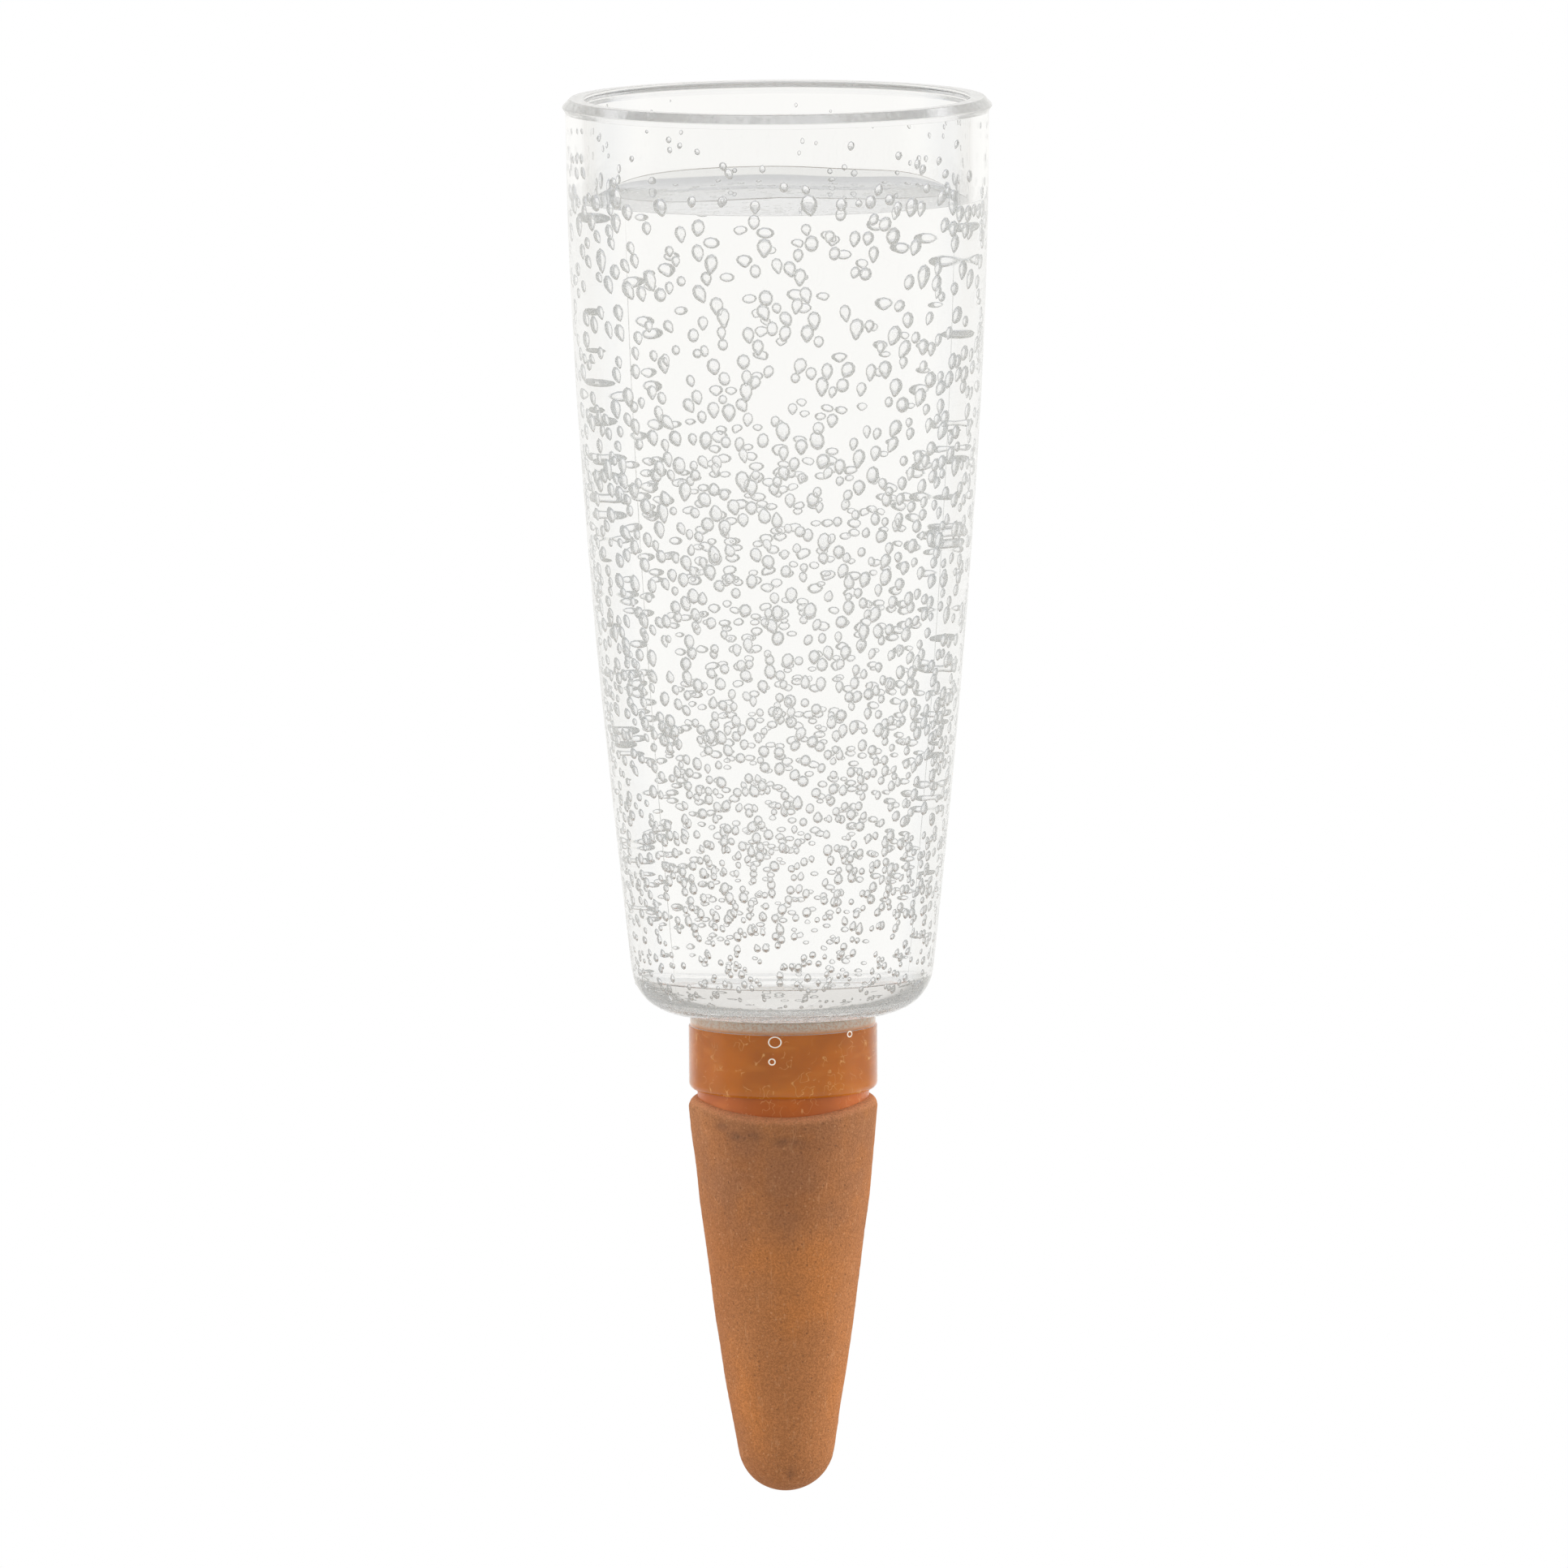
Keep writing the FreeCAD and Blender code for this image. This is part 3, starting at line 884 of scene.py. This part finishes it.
def rubberMaterial(v, name, gloss, more):
    material, tree = newMaterial(name)
    place = objectPlace(tree)
    cloudy = patchMask(tree, place, *v["cloud"])
    colour = mixed(tree, cloudy, v["dark"], v["rubber"])
    turn = (0.0, math.radians(v["streakTurnDeg"]), 0.0)
    drawn = put(tree, "Mapping", {"Vector": place, "Rotation": turn, "Scale": v["streakStretch"]}).outputs[0]
    colour = cover(tree, colour, v["light"], patchMask(tree, drawn, *v["streak"]), v["streakShare"])
    hair = useGroup(tree, scratches, {"Vector": place, **v["hair"]})["Mask"]
    colour = cover(tree, colour, v["scratch"], hair, v["hairShare"])
    dents = patchMask(tree, place, v["dents"]["scale"])
    bump = {"Height": dents, "Distance": v["dents"]["deep"], "Strength": v["dents"]["strength"]}
    # the colour is scaled by more; for the stretch behind the plastic that scaling is painted light
    finishMaterial(tree, "BsdfPrincipled", {
        "Base Color": vectorMaths(tree, "MULTIPLY", colour, more)[0],
        "Roughness": span(tree, cloudy, 0.0, 1.0, *v["roughness"]),
        "Normal": put(tree, "Bump", bump).outputs[0],
        "Specular IOR Level": gloss,
        **v["glow"],
    })
    return material


def chalkMaterial(v):
    # Dried water leaves pale crumbs on the flange
    material, tree = newMaterial("chalkedRubber")
    place = objectPlace(tree)
    worn = patchMask(tree, place, *v["chalkPatches"])
    colour = cover(tree, v["chalkDark"], v["chalk"], grainTone(tree, place, v["chalkGrain"]), worn)
    roughness = span(tree, worn, 0.0, 1.0, *v["chalkRoughness"])
    finishMaterial(tree, "BsdfPrincipled", {"Base Color": colour, "Roughness": roughness})
    return material


def makeSeal(v):
    footRound, topRound, flangeRound = v["outerRounds"]
    top, edge = v["height"] + v["pressed"], v["edgeRound"]
    outline = roundedOutline([
        (v["bore"], v["foot"], edge),
        (v["outer"], v["foot"], footRound),
        (v["outer"], v["mouth"], 0),
        (v["outer"], top, topRound),
        (v["flangeBore"], top, flangeRound),
        (v["flangeBore"], v["flangeHeight"], edge),
        (v["bore"], v["flangeHeight"], edge),
    ])
    seal = turnedPiece("sealRing", outline, v["turns"])
    paintedLightInSocket = rubberMaterial(v, "orangeRubberPaintedLightInSocket", 0.0, v["paintedLightInSocket"])
    lip = rubberMaterial(v, "orangeRubberLip", v["lipGloss"], v["onLip"])
    dress(seal, "seal", paintedLightInSocket, lip, chalkMaterial(v), slot="seal_rubber", nodes=["seal_sleeve"])
    r, z = outline.T
    onLip = np.maximum(z, np.roll(z, -1)) <= v["mouth"]
    onTop = np.minimum(z, np.roll(z, -1)) > v["height"] - v["chalkDepth"]
    onFlange = np.maximum(r, np.roll(r, -1)) < v["chalkWithin"]
    byRing(seal, onLip + 2 * (onTop | onFlange), v["turns"])


# Clay cone
clayValues = {
    "neckRadius": 18.75,
    "neckTop": 16.8,
    "bore": 14.25,
    "shoulderRadius": 22.25,
    "shoulderRound": 2.4,
    "shoulderRoom": 1.3,  # the side's own rows end this far below it, counted in its rounding
    "noseRadius": 11.3,
    "length": 92.2,
    "belly": 0.7,
    "wall": 4.5,
    "flareHeight": 8.0,
    "flareInset": 1.0,
    "footRound": 0.2,  # where the neck rises from the shoulder
    "edgeRound": 0.5,
    "cavityRounds": (1.0, 4.0),  # at its flare and at its nose
    "noseRows": 40,
    "sideRows": 130,
    "step": 1.5,
    "turns": 220,
    "uneven": (0.07, 11, (9, 30)),  # height, seed and lengths of its waves
    "grainy": (0.018, 12, (1.2, 2.4), 48),  # and how many of them
    "topFade": 2.0,
    "tipFade": 4.0,  # the tip itself stays true to its length
    "shoulderHigh": 1.0,  # the shoulder round the sides and the back
    "shoulderDip": 2.67,  # how far it dips to the front
    "shoulderFade": (-10.0, -1.0),
    "clay": tone(176, 115, 69),
    "orange": tone(188, 119, 64),
    "brown": tone(152, 97, 59),
    "grey": tone(148, 102, 72),
    "dark": tone(92, 66, 50),
    "sand": tone(214, 160, 116),
    "worn": tone(206, 140, 98),  # painted light: the paler colour of faces that point up, such as the shoulder's rounded edge
    # patches: scale, and the values where they start and are full
    "orangePatches": (45.0, 0.42, 0.66),
    "brownPatches": (28.0, 0.45, 0.62, (1.0, 1.0, 0.6)),
    "greyPatches": (110.0, 0.3, 0.6),
    "raggedPatches": (60.0, 0.3, 0.7),
    "brokenPatches": (260.0, 0.3, 0.65),
    # how much of a colour shows
    "brownShare": 0.6,
    "greyShares": (0.15, 0.5),
    "tipShadeShare": 0.35,
    "upLightShare": 0.6,
    "paleShare": 0.35,
    "pitShare": 0.32,
    "scrapeShare": 0.3,
    "greyFrom": (-38.0, -6.0),  # the upper part dried greyer
    "greyRagged": 12.0,
    # painted shade: browner towards the tip, from where it starts to where it is full
    "tipShadeFrom": (-78.0, -90.0),
    "upLightFrom": (0.1, 0.75),  # how far a place faces up
    "grain": 2000.0,
    "shades": (0.81, 1.17),
    "scrapes": {"Stretch": (1.0, 1.0, 0.12), "Scale": 900.0, "Width": 0.03, "Rare": 0.56},
    "pitDepth": 1.5,
    "relief": {"Distance": 0.0002, "Strength": 0.55},
    "roughness": (0.95, 0.8),
    "gloss": 0.25,
    # marks: centre, size across, front to back and up, and how dark. Four dark spots sit just under the
    # shoulder at the front, one near the tip
    "darkSpots": (((-9.0, -19.5, -6.2), (7.0, 8.0, 2.2), 0.65), ((1.5, -21.5, -7.4), (6.0, 6.0, 1.8), 0.6),
                ((-14.5, -16.0, -4.2), (3.0, 5.0, 1.6), 0.55), ((1.2, -8.0, -86.0), (2.2, 6.0, 3.4), 0.5),
                ((8.0, -19.0, -9.0), (8.0, 8.0, 2.0), 0.25)),
    "pinhole": ((0.7, -20.2, -22.3), (0.45, 1.6, 0.4), 0.9),
}


def clayOutline(v):
    # The nose is an arc about a centre on the axis, and the side is a large arc that runs into it and passes
    # the shoulder's corner
    nose = np.array([0, v["noseRadius"] - v["length"]])
    shoulder = np.array([v["shoulderRadius"], 0.0])
    sideArc = nose[1] ** 2 / (8 * v["belly"])
    way = shoulder - nose
    reach, length = sideArc - v["noseRadius"], np.hypot(*way)
    along = (reach**2 - sideArc**2 + length**2) / (2 * length)
    aside = math.sqrt(reach**2 - along**2)
    way /= length
    centre = nose + way * along + np.array([-way[1], way[0]]) * aside
    start = math.atan2(nose[1] - centre[1], nose[0] - centre[0])
    end = math.atan2(shoulder[1] - centre[1], shoulder[0] - centre[0])

    def arc(c, r, t):
        return np.stack([c[0] + r * np.cos(t), c[1] + r * np.sin(t)], -1)

    noseArc = arc(nose, v["noseRadius"], np.linspace(-math.pi / 2, start, v["noseRows"])[:-1])
    noseArc[0, 0] = 0
    side = arc(centre, sideArc, np.linspace(start, end, v["sideRows"]))
    side = side[side[:, 1] < -v["shoulderRound"] * v["shoulderRoom"]]
    edge, (flareRound, cavityRound) = v["edgeRound"], v["cavityRounds"]
    rest = roundedOutline([
        (*side[-1], 0),
        (v["shoulderRadius"], 0, v["shoulderRound"]),
        (v["neckRadius"], 0, v["footRound"]),
        (v["neckRadius"], v["neckTop"], edge),
        (v["bore"], v["neckTop"], edge),
        (v["bore"], 0, edge),
        (v["shoulderRadius"] - v["wall"] - v["flareInset"], -v["flareHeight"], flareRound),
        (v["noseRadius"] - v["wall"], nose[1], cavityRound),
        (0, nose[1] - v["noseRadius"] + v["wall"], 0),
    ], closed=False, longest=v["step"])
    return np.concatenate([noseArc, side[:-1], rest])


def clayMaterial(v):
    material, tree = newMaterial("firedClay")
    place = objectPlace(tree)
    height = put(tree, "SeparateXYZ", {0: place}).outputs["Z"]

    def patch(scale, low, high, stretch=(1.0, 1.0, 1.0)):
        drawn = put(tree, "Mapping", {"Vector": place, "Scale": stretch}).outputs[0]
        return patchMask(tree, drawn, scale, low, high)

    def band(at, limits):
        start, full = limits
        return span(tree, at, start * mm, full * mm)

    colour = mixed(tree, patch(*v["orangePatches"]), v["clay"], v["orange"])
    colour = cover(tree, colour, v["brown"], patch(*v["brownPatches"]), v["brownShare"])
    off = v["greyRagged"] * mm
    ragged = maths(tree, "ADD", height, span(tree, patch(*v["raggedPatches"]), 0.0, 1.0, -off, off))
    greyShare = span(tree, patch(*v["greyPatches"]), 0.0, 1.0, *v["greyShares"])
    colour = cover(tree, colour, v["grey"], band(ragged, v["greyFrom"]), greyShare)
    # painted shade: browner towards the tip
    colour = cover(tree, colour, v["brown"], band(height, v["tipShadeFrom"]), v["tipShadeShare"])
    # painted light: paler where the surface faces up
    upward = put(tree, "SeparateXYZ", {0: put(tree, "NewGeometry").outputs["Normal"]}).outputs["Z"]
    colour = cover(tree, colour, v["worn"], span(tree, upward, *v["upLightFrom"]), v["upLightShare"])
    specks = useGroup(tree, grain, {"Vector": place, "Scale": v["grain"]})
    shade = span(tree, specks["Tone"], 0.0, 1.0, *v["shades"])
    shade = put(tree, "CombineXYZ", {0: shade, 1: shade, 2: shade}).outputs[0]
    colour = mixed(tree, 1.0, colour, shade, "MULTIPLY")
    colour = cover(tree, colour, v["sand"], specks["Pale"], v["paleShare"])
    colour = cover(tree, colour, v["dark"], specks["Pits"], v["pitShare"])
    scrapes = useGroup(tree, scratches, {"Vector": place, **v["scrapes"]})["Mask"]
    colour = cover(tree, colour, v["sand"], scrapes, v["scrapeShare"])

    def darkened(colour, mark, broken):
        centre, size, depth = mark
        inputs = {"Vector": place, "Centre": [c * mm for c in centre], "Size": [s * mm for s in size]}
        mask = times(tree, useGroup(tree, spot, inputs)["Mask"], broken)
        return cover(tree, colour, v["dark"], mask, depth)

    broken = patch(*v["brokenPatches"])
    for darkSpot in v["darkSpots"]:
        colour = darkened(colour, darkSpot, broken)
    pits = times(tree, specks["Pits"], v["pitDepth"])
    bump = put(tree, "Bump", {"Height": maths(tree, "SUBTRACT", specks["Tone"], pits), **v["relief"]})
    finishMaterial(tree, "BsdfPrincipled", {
        "Base Color": darkened(colour, v["pinhole"], 1.0),
        "Roughness": span(tree, specks["Tone"], 0.0, 1.0, *v["roughness"]),
        "Specular IOR Level": v["gloss"],
        "Normal": bump.outputs[0],
    })
    return material


def makeClay(v):
    def handMade(points, normals):
        # Slow unevenness and a fine grain along the normal, on the cone's outside only. The shoulder rises
        # and falls by high - dip c c, where c is how far a point faces the front.
        height, length = points[..., 2], v["length"]
        reach = np.maximum(np.hypot(points[..., 0], points[..., 1]), tiny)
        facing = np.clip(-points[..., 1] / reach, 0, 1)
        shoulder = smoothStep(height, *v["shoulderFade"]) * (reach > v["neckRadius"] + 2 * near)
        lift = shoulder * (v["shoulderHigh"] - v["shoulderDip"] * facing**2)
        outside = smoothStep(height, 0.0, -v["topFade"]) * smoothStep(height, -length, v["tipFade"] - length)
        rough = sum(high * waves(points, *rest) for high, *rest in (v["uneven"], v["grainy"]))
        return points + normals * (outside * rough)[..., None] + lift[..., None] * np.array([0, 0, 1.0])

    clay = turnedPiece("clayBody", clayOutline(v), v["turns"], handMade)
    dress(clay, "cone", clayMaterial(v), slot="fired_clay", nodes=["clay_cone"])


# Floor, lamps and world
floorValues = {
    "radius": 1600.0,
    "height": -450.0,
    "sides": 96,
    "seen": (1, 1, 1, 1),
    "lit": (0.8, 0.8, 0.8, 1),
}
lightValues = {
    "colour": (0.8, 0.8, 0.8, 1),
    "front": 0.69,  # light from the front and the back
    "side": 2.85,  # light from the sides
    "sideFrom": (0.6, 0.9),
    # what glass shows of the room, from straight down to straight up
    "heights": ((-1.0, (0.5, 0.51, 0.53)), (-0.6, (0.55, 0.56, 0.58)), (-0.35, (1, 0.99, 0.96)),
                (0.5, (1, 1, 1)), (1.0, (0.85, 0.86, 0.88))),
    # and how much dimmer that is once mirrored, from the front of the room to its back
    "depths": ((-1.0, (0.66, 0.66, 0.66)), (-0.3, (0.7, 0.7, 0.7)), (-0.05, (0.95, 0.95, 0.95)),
               (0.12, (0.92, 0.92, 0.92)), (0.3, (0.6, 0.66, 0.76)), (0.6, (0.66, 0.65, 0.63)),
               (0.82, (1, 1, 1))),
    # lamps: name, place in metres, width and power
    "lamps": (
        ("leftLamp", (-1.6, 0.3, 0.5), 1.2, 6.0),
        ("rightLamp", (1.6, 0.3, 0.5), 1.2, 10.5),
    ),
    "lampsAim": (0, 0, 0.07),
}
bounceValues = {
    "max_bounces": 40,
    "glossy_bounces": 32,
    "transmission_bounces": 40,
    "transparent_max_bounces": 24,
}


def makeFloor(v):
    mesh = bpy.data.meshes.new("floor")
    angle = np.linspace(0, 2 * math.pi, v["sides"], endpoint=False)
    x, y = v["radius"] * np.cos(angle), v["radius"] * np.sin(angle)
    rim = np.stack([x, y, np.full(v["sides"], v["height"])], 1)
    mesh.from_pydata((rim * mm).tolist(), [], [list(range(v["sides"]))])
    floor = bpy.data.objects.new("floor", mesh)
    bpy.context.scene.collection.objects.link(floor)
    material, tree = newMaterial("paleFloor")
    colour = mixed(tree, put(tree, "LightPath").outputs["Is Camera Ray"], v["lit"], v["seen"])
    finishMaterial(tree, "BsdfDiffuse", {"Color": colour})
    floor.data.materials.append(material)


def ramp(tree, value, stops):
    # A row of colours over the values from -1 to 1
    made = put(tree, "ValToRGB", {0: put(tree, "MapRange", {"Value": value, "From Min": -1.0}).outputs[0]})
    elements = made.color_ramp.elements
    for element, (place, colour) in zip(elements, (stops[0], stops[-1])):
        element.position, element.color = (place + 1) / 2, (*colour, 1)
    for place, colour in stops[1:-1]:
        elements.new((place + 1) / 2).color = (*colour, 1)
    return made.outputs["Color"]


def makeLight(v):
    world = bpy.data.worlds.new("studio")
    bpy.context.scene.world = world
    world.use_nodes = True
    tree = world.node_tree
    tree.nodes.clear()
    path = put(tree, "LightPath").outputs
    way = put(tree, "SeparateXYZ", {0: put(tree, "TexCoord").outputs["Generated"]}).outputs
    strength = span(tree, maths(tree, "ABSOLUTE", way["X"]), *v["sideFrom"], v["front"], v["side"])
    mirrored = maths(tree, "MINIMUM", path["Glossy Depth"], 1.0)
    heights, depths = ramp(tree, way["Z"], v["heights"]), ramp(tree, way["Y"], v["depths"])
    room = mixed(tree, mirrored, heights, depths, "MULTIPLY")
    lit = put(tree, "Background", {"Color": v["colour"], "Strength": strength})
    shown = put(tree, "Background", {"Color": room})
    white = put(tree, "Background", {"Color": (1, 1, 1, 1)})
    # only glass and gloss show the room, and not for light that a dull surface scattered
    clear = maths(tree, "MAXIMUM", path["Is Transmission Ray"], path["Is Glossy Ray"])
    clear = times(tree, clear, maths(tree, "LESS_THAN", path["Diffuse Depth"], 0.5))
    around = put(tree, "MixShader", {0: clear, 1: lit.outputs[0], 2: shown.outputs[0]})
    whole = put(tree, "MixShader", {0: path["Is Camera Ray"], 1: around.outputs[0], 2: white.outputs[0]})
    put(tree, "OutputWorld", {"Surface": whole.outputs[0]})
    for name, place, size, power in v["lamps"]:
        data = bpy.data.lights.new(name, "AREA")
        data.size, data.energy = size, power
        lamp = bpy.data.objects.new(name, data)
        lamp.location = place
        lamp.visible_transmission = lamp.visible_glossy = False
        ahead = Vector(v["lampsAim"]) - Vector(place)
        lamp.rotation_euler = ahead.to_track_quat("-Z", "Y").to_euler()
        bpy.context.scene.collection.objects.link(lamp)


shellOutline, through = makeShell(reservoirValues)
makeWater(waterValues, shellOutline, through)
print("made the reservoir and its water,", len(shellOutline), "rings")
makeLime(limeValues)
air = makeBubbles(bubbleValues)
makeRings(ringValues)
makeSeams(seamValues, air)
print("made the lime, the ring marks and the seams")
makeSeal(sealValues)
makeClay(clayValues)
print("made the seal and the clay cone")
makeFloor(floorValues)
makeLight(lightValues)
for key, value in bounceValues.items():  # light passes many faces of plastic, water and air
    setattr(bpy.context.scene.cycles, key, value)
bpy.context.scene.view_settings.view_transform = "Standard"
print("made the floor and the light")
